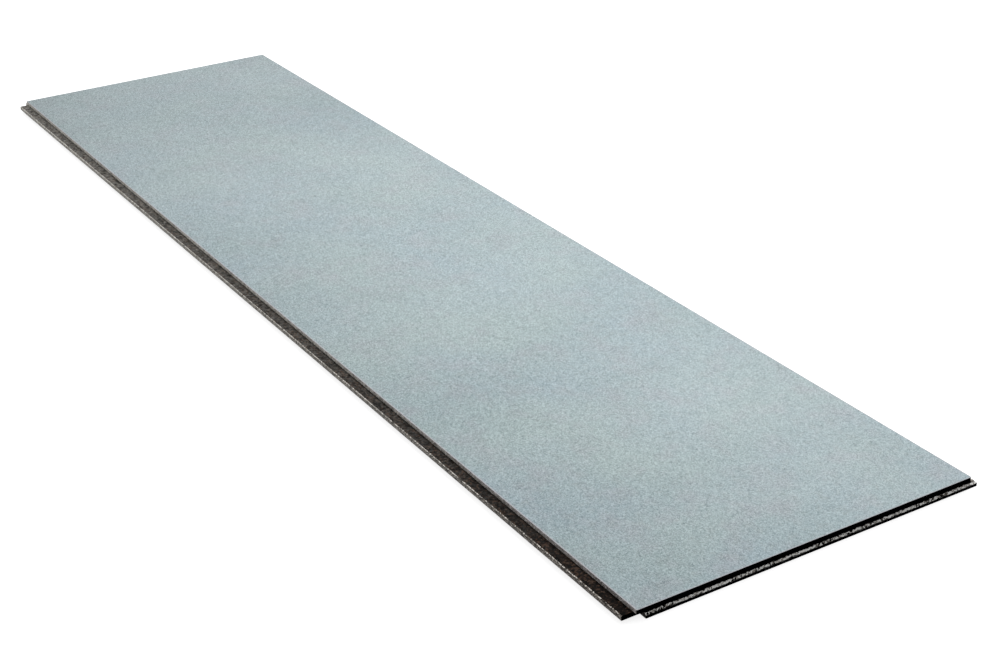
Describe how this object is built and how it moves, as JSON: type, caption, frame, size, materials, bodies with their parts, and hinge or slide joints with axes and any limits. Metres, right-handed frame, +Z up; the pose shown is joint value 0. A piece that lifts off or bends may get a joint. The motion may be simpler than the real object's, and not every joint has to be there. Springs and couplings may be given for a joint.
{
  "type": "chipboard sheathing board",
  "caption": "Tongue-and-groove chipboard board for floors and sheathing, with a tongue on one long side and one end, and a groove on the opposite side and end.",
  "frame": {"origin": "on the underside, straight below the centre of the top face", "axes": "+X along the board to its groove end, +Y across it to its groove side, +Z up out of the top face"},
  "size_m": [2.4067, 0.636, 0.022],
  "materials": {
    "chipboard": "matte"
  },
  "bodies": {
    "root": {"chipboard_board": "chipboard"}
  },
  "joints": []
}
